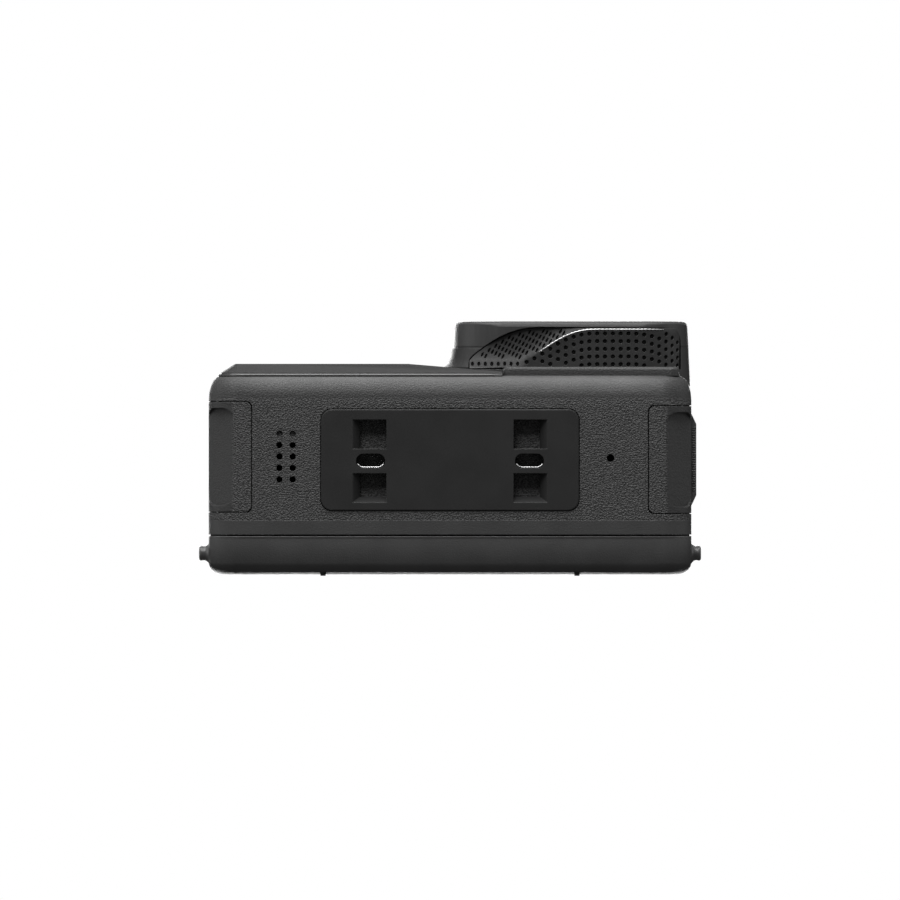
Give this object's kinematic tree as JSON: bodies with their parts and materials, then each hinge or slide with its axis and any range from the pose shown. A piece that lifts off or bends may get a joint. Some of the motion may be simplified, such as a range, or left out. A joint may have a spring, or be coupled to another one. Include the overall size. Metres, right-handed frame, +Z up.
{
  "type": "action camera",
  "caption": "Pocket action camera with a square lens block, twist-off lens guard, flip-up rear screen, side doors and a slotted quick-release mount plate underneath.",
  "frame": {"origin": "centre of the mount plate's lower face", "axes": "+X to the right seen from the front (towards the battery door), +Y to the rear (towards the flip screen), +Z up"},
  "size_m": [0.0748, 0.038, 0.0522],
  "materials": {
    "grained_plastic": "leather-grained rubbery plastic",
    "satin_plastic": "satin",
    "smooth_plastic": "smooth semi-matte",
    "grille_metal": "black semi-gloss",
    "rubber": "matte",
    "steel": "brushed",
    "dark_steel": "black satin",
    "aluminium": "anodised",
    "circuit_board": "solder mask",
    "black_plastic": "matte",
    "cover_glass": "polished black",
    "lens_glass": "coated",
    "battery_pack": "matte wrap"
  },
  "bodies": {
    "camera_body": {"main_housing": "grained_plastic", "rear_frame": "satin_plastic", "rear_screw_top_left": "dark_steel", "rear_screw_top_right": "dark_steel", "rear_screw_low_left": "dark_steel", "rear_screw_low_right": "dark_steel", "screen_hinge_pin_left": "steel", "screen_hinge_pin_right": "steel", "battery_door_pin": "steel", "usb_door_pin": "steel", "mount_plate": "smooth_plastic", "mount_magnet_left": "steel", "mount_magnet_right": "steel", "front_cover": "smooth_plastic", "front_display_window": "cover_glass", "front_display_panel": "black_plastic", "record_lamp": "cover_glass", "lens_housing": "satin_plastic", "lens_bezel": "satin_plastic", "mic_grille": "grille_metal", "lens_barrel": "aluminium", "lens_hood": "black_plastic", "lens_front_element": "lens_glass", "lens_rear_element": "lens_glass", "sensor_board": "circuit_board", "image_sensor": "black_plastic", "battery": "battery_pack", "battery_bay": "black_plastic", "battery_terminal": "steel", "main_board": "circuit_board", "processor": "black_plastic", "usb_port": "steel", "card_slot": "steel", "speaker_unit": "black_plastic", "vent_membrane": "rubber", "heat_spreader": "aluminium", "front_microphone": "steel"},
    "flip_screen": {"screen_housing": "satin_plastic", "display_panel": "black_plastic", "screen_glass": "cover_glass", "finger_stud_left": "dark_steel", "finger_stud_right": "dark_steel", "screen_bumper_left": "rubber", "screen_bumper_right": "rubber"},
    "battery_door": {"battery_door": "grained_plastic", "battery_door_gasket": "rubber"},
    "battery_latch": {"battery_latch": "smooth_plastic"},
    "usb_door": {"usb_door": "grained_plastic", "usb_door_gasket": "rubber"},
    "lens_guard": {"lens_guard_ring": "smooth_plastic", "lens_guard_glass": "cover_glass"},
    "shutter_button": {"shutter_button": "smooth_plastic"},
    "power_button": {"power_button": "smooth_plastic"}
  },
  "joints": [
    {"name": "screen_hinge", "type": "hinge", "parent": "camera_body", "child": "flip_screen", "pos_m": [0, 0.01125, 0.0507], "axis": [1, 0, 0], "range_deg": [0, 180]},
    {"name": "battery_door_hinge", "type": "hinge", "parent": "camera_body", "child": "battery_door", "pos_m": [0.0345, 0, 0.0406], "axis": [0, -1, 0], "range_deg": [0, 90]},
    {"name": "battery_latch_slide", "type": "slide", "parent": "battery_door", "child": "battery_latch", "axis": [0, 0, 1], "range_m": [0, 0.0022]},
    {"name": "usb_door_hinge", "type": "hinge", "parent": "camera_body", "child": "usb_door", "pos_m": [-0.0345, 0, 0.031], "axis": [0, 1, 0], "range_deg": [0, 90]},
    {"name": "lens_guard_twist", "type": "hinge", "parent": "camera_body", "child": "lens_guard", "pos_m": [0.01811, -0.019, 0.0341], "axis": [0, -1, 0], "range_deg": [0, 45]},
    {"name": "shutter_press", "type": "slide", "parent": "camera_body", "child": "shutter_button", "axis": [0, 0, -1], "range_m": [0, 0.0006], "stiffness_N_per_m": 2500},
    {"name": "power_press", "type": "slide", "parent": "camera_body", "child": "power_button", "axis": [1, 0, 0], "range_m": [0, 0.0003], "stiffness_N_per_m": 4000}
  ]
}
